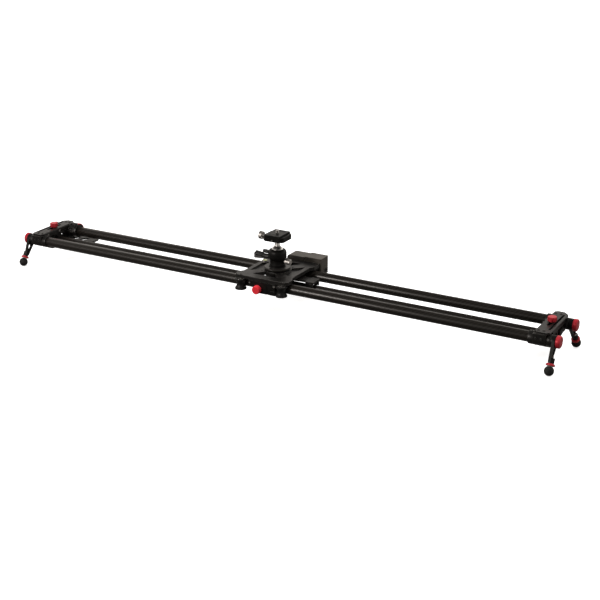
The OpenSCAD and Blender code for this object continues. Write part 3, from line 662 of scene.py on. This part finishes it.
def head_knobs():
    """Lobed lock knob and knurled tension, panning and clamp knobs."""
    low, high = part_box("lock_knob")
    mid = middle("lock_knob")
    profile = [(0, 0, -0.2), (3.0, 0, -0.2), (3.0, 0, 6.0), (5.0, 0, 6.2), (5.0, 0, 19.5),
               (5.4, 0, 20.2), (6.3, 0.4, 20.8), (6.7, 1.0, 22.5), (7.3, 1.0, 27),
               (8.0, 1.0, 34), (8.15, 1.0, 36), (7.8, 0.9, 37.2), (6.6, 0.6, 37.8),
               (3.2, 0, 37.8), (2.6, 0, 37.2), (0, 0, 37.0)]
    length = high.x - low.x
    points = [(r * MM, share, min(h * MM, length)) for r, share, h in profile]
    make("lock_knob_grip",
         joined([lobed(points, lobes=5, depth=1.9 * MM)],
                [facing(LEFT, (high.x, mid.y, mid.z))]),
         "black_plastic", "lock_knob", "lock_knob")

    _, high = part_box("tension_knob")
    mid = middle("tension_knob")
    stem = revolved([(0, 0), (2 * MM, 0), (2 * MM, 4 * MM), (0, 4 * MM)])
    knob = knurled(3.9 * MM, 12.6 * MM, count=24, depth=0.35 * MM, chamfer=0.6 * MM,
                   dish=0.8 * MM)
    stem_shown = 3.4 * MM
    make("tension_knob_grip",
         joined([stem, knob], [facing(LEFT, (high.x, mid.y, mid.z)),
                               facing(LEFT, (high.x - stem_shown, mid.y, mid.z))]),
         "black_plastic", "tension_knob", "tension_knob")

    low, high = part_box("pan_knob")
    mid = middle("pan_knob")
    radius = (high.z - low.z) / 2
    grip = 9.4 * MM
    stem = revolved([(0, 0), (2.5 * MM, 0), (2.5 * MM, 6.3 * MM), (4.4 * MM, 6.4 * MM),
                     (4.4 * MM, 9.6 * MM), (0, 9.6 * MM)])
    knob = knurled(radius, grip, count=26, depth=0.4 * MM, chamfer=0.7 * MM, dish=0.7 * MM)
    make("pan_knob_grip",
         joined([stem, knob],
                [facing(RIGHT, (low.x, mid.y, mid.z)),
                 facing(RIGHT, (high.x - grip, mid.y, mid.z))]),
         "nickel", "pan_knob", "pan_knob")

    low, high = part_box("clamp_knob")
    mid = middle("clamp_knob")
    radius = (high.z - low.z) / 2
    grip = 8 * MM
    bolt = threaded(1.95 * MM, high.x - low.x - grip - 0.5 * MM, pitch=0.8 * MM,
                    depth=0.3 * MM, steps=32)
    hub = revolved([(0, 0), (4 * MM, 0), (4 * MM, 2.4 * MM), (0, 2.4 * MM)])
    hub_shown = 2 * MM
    knob = knurled(radius, grip, count=34, depth=0.4 * MM, chamfer=0.7 * MM, dish=0.8 * MM)
    make("clamp_knob_grip",
         joined([bolt, hub, knob],
                [facing(LEFT, (high.x, mid.y, mid.z)),
                 facing(LEFT, (low.x + grip + hub_shown, mid.y, mid.z)),
                 facing(LEFT, (low.x + grip, mid.y, mid.z))]),
         "nickel", "clamp_knob", "clamp_knob")


def camera_plate():
    """Threaded camera screw, rubber strips on the plate and the clamp's small screws."""
    low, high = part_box("camera_screw")
    mid = middle("camera_screw")
    head = revolved([(0, 0), (6.6 * MM, 0), (7.2 * MM, 0.5 * MM), (7.2 * MM, 2.3 * MM),
                     (6.7 * MM, 2.8 * MM), (2.7 * MM, 2.8 * MM), (2.7 * MM, 6.5 * MM),
                     (0, 6.5 * MM)])
    length = 5 * MM
    thread = threaded(3.17 * MM, length, pitch=1.27 * MM, depth=0.55 * MM)
    make("camera_screw_thread",
         joined([head, thread], [facing(UP, (mid.x, mid.y, low.z)),
                                 facing(UP, (mid.x, mid.y, high.z - length))]),
         "steel", "camera_screw", "camera_screw")

    _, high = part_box("quick_release_plate")
    mid = middle("quick_release_plate")
    strips = bmesh.new()
    half = Vector((10.9, 0.62, 0.45)) * MM
    strip_offsets = (-17, -12, 12, 17)
    sunk, edge_round = 0.3 * MM, 0.15 * MM
    for offset in strip_offsets:
        made = bmesh.ops.create_cube(strips, size=2)["verts"]
        for vert in made:
            vert.co = Vector([c * h for c, h in zip(vert.co, half)])
            vert.co += Vector((mid.x, mid.y + offset * MM, high.z - sunk))
    bmesh.ops.bevel(strips, geom=strips.edges[:], offset=edge_round, segments=2, affect="EDGES")
    make("quick_release_pads", strips, "rubber", "quick_release_plate")

    low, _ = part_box("clamp_body")
    screw = socket_head(radius=1.9 * MM, height=1.9 * MM, flat=0.9 * MM)
    place = (mid.x, low.y + 2.0 * MM, low.z + 2.6 * MM)
    make("clamp_stop_screw", joined([screw], [facing(FRONT, place)]), "steel", "neck")
    low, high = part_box("clamp_jaw")
    small = socket_head(radius=1.3 * MM, height=0.8 * MM, flat=0.65 * MM)
    spots = [(low.x + 3.2 * MM, mid.y + side * 12 * MM, high.z) for side in SIDES]
    make("clamp_jaw_screws", joined([small] * 2, [facing(UP, at) for at in spots]),
         "black_screw", "clamp_jaw")


frame_screws()
collar_screws()
for name in CORNERS:
    foot_pieces(name)
    leg_cap(name)
    roller_bearings(name)
carriage_screws()
level()
head_knobs()
camera_plate()


# ------------------------------------------------------ floor, light, camera

LIGHT_COLOUR = (1, 0.93, 0.87)
SKY_TINT = (1, 0.94, 0.875)
SKY_STOPS = (  # height from straight down to straight up, brightness
    (0.0, 0.2), (0.49, 0.22), (0.51, 1.0), (0.66, 1.1), (0.8, 0.12), (1.0, 0.08))
SKY_FRONT = 0.3  # share of that brightness in front of the object
SKY_TURN = (-0.6, 0.5)  # direction's Y where the front's share ends and the back's begins
FLOOR_SIZE = 80
FLOOR_GLOW = 0.7
SUN_ENERGY = 3.3
SUN_ANGLE = math.radians(100)

# The photo's camera, solved from the rails' vanishing points.
CAMERA_LENS = 79.06
CAMERA_SENSOR = 36
CAMERA_AT = (1.24584, -2.12366, 0.93876)
CAMERA_TILT_DOWN = 20.784
CAMERA_TURN = 29.441


def aim(obj, place, target):
    """Puts a light or camera at a place, looking at the target."""
    obj.location = place
    obj.rotation_euler = (Vector(target) - Vector(place)).to_track_quat("-Z", "Y").to_euler()
    bpy.context.scene.collection.objects.link(obj)


def softbox(name, size, energy, place, target):
    """Warm rectangular area light."""
    light = bpy.data.lights.new(name, "AREA")
    light.shape = "RECTANGLE"
    light.size, light.size_y = size
    light.energy = energy
    light.color = LIGHT_COLOUR
    aim(bpy.data.objects.new(name, light), place, target)


def studio_world():
    """Bright backdrop low behind the object, darker overhead and in front."""
    world = bpy.data.worlds.new("studio")
    world.use_nodes = True
    tree = world.node_tree
    split = tree.nodes.new("ShaderNodeSeparateXYZ")
    tree.links.new(tree.nodes.new("ShaderNodeTexCoord").outputs["Generated"], split.inputs[0])
    height = tree.nodes.new("ShaderNodeValToRGB")
    ramp = height.color_ramp
    while len(ramp.elements) < len(SKY_STOPS):
        ramp.elements.new(0.5)
    for element, (at, light) in zip(ramp.elements, SKY_STOPS):
        element.position = at
        element.color = (*[light * share for share in SKY_TINT], 1)
    lift = tree.nodes.new("ShaderNodeMapRange")
    lift.inputs["From Min"].default_value = -1
    tree.links.new(split.outputs[2], lift.inputs["Value"])
    tree.links.new(lift.outputs[0], height.inputs["Fac"])
    behind = tree.nodes.new("ShaderNodeMapRange")
    behind.inputs["From Min"].default_value = SKY_TURN[0]
    behind.inputs["From Max"].default_value = SKY_TURN[1]
    behind.inputs["To Min"].default_value = SKY_FRONT
    tree.links.new(split.outputs[1], behind.inputs["Value"])
    shade = tree.nodes.new("ShaderNodeMix")
    shade.data_type = "RGBA"
    shade.blend_type = "MULTIPLY"
    shade.inputs["Factor"].default_value = 1
    tree.links.new(height.outputs[0], shade.inputs[6])
    tree.links.new(behind.outputs[0], shade.inputs[7])
    tree.links.new(shade.outputs[2], tree.nodes["Background"].inputs["Color"])
    bpy.context.scene.world = world


def stage_scene():
    """Pale floor, soft studio light and the camera."""
    scene = bpy.context.scene
    scene.view_settings.view_transform = "Standard"

    bpy.ops.mesh.primitive_plane_add(size=FLOOR_SIZE, location=(0, 0, 0))
    floor = bpy.context.object
    floor.name = "floor"
    s = Shader("floor")
    s.set(Base_Color=s.blend(s.noise(0.5, detail=2), (0.8, 0.8, 0.8), (0.82, 0.82, 0.82)),
          Roughness=0.9, Specular_IOR_Level=0.1,
          Emission_Color=(1, 1, 1), Emission_Strength=FLOOR_GLOW)
    floor.data.materials.append(s.material)
    floor.visible_glossy = False
    floor.visible_diffuse = False
    studio_world()

    sun = bpy.data.lights.new("overhead", "SUN")
    sun.energy = SUN_ENERGY
    sun.angle = SUN_ANGLE
    overhead = bpy.data.objects.new("overhead", sun)
    aim(overhead, place=(-0.5, 0.4, 3), target=(0, 0, 0))
    overhead.visible_glossy = False

    softbox("strip", size=(0.4, 0.3), energy=32, place=(-1.08, -2.6, 1.12),
            target=(0.15, 0, 0.05))
    softbox("left_fill", size=(1.6, 0.3), energy=4, place=(-2.7, -2.4, 1.05),
            target=(-0.4, 0, 0.05))

    lens = bpy.data.cameras.new("camera")
    lens.lens = CAMERA_LENS
    lens.sensor_width = CAMERA_SENSOR
    camera = bpy.data.objects.new("camera", lens)
    camera.location = CAMERA_AT
    camera.rotation_euler = (math.radians(90 - CAMERA_TILT_DOWN), 0, math.radians(CAMERA_TURN))
    scene.collection.objects.link(camera)
    scene.camera = camera


stage_scene()
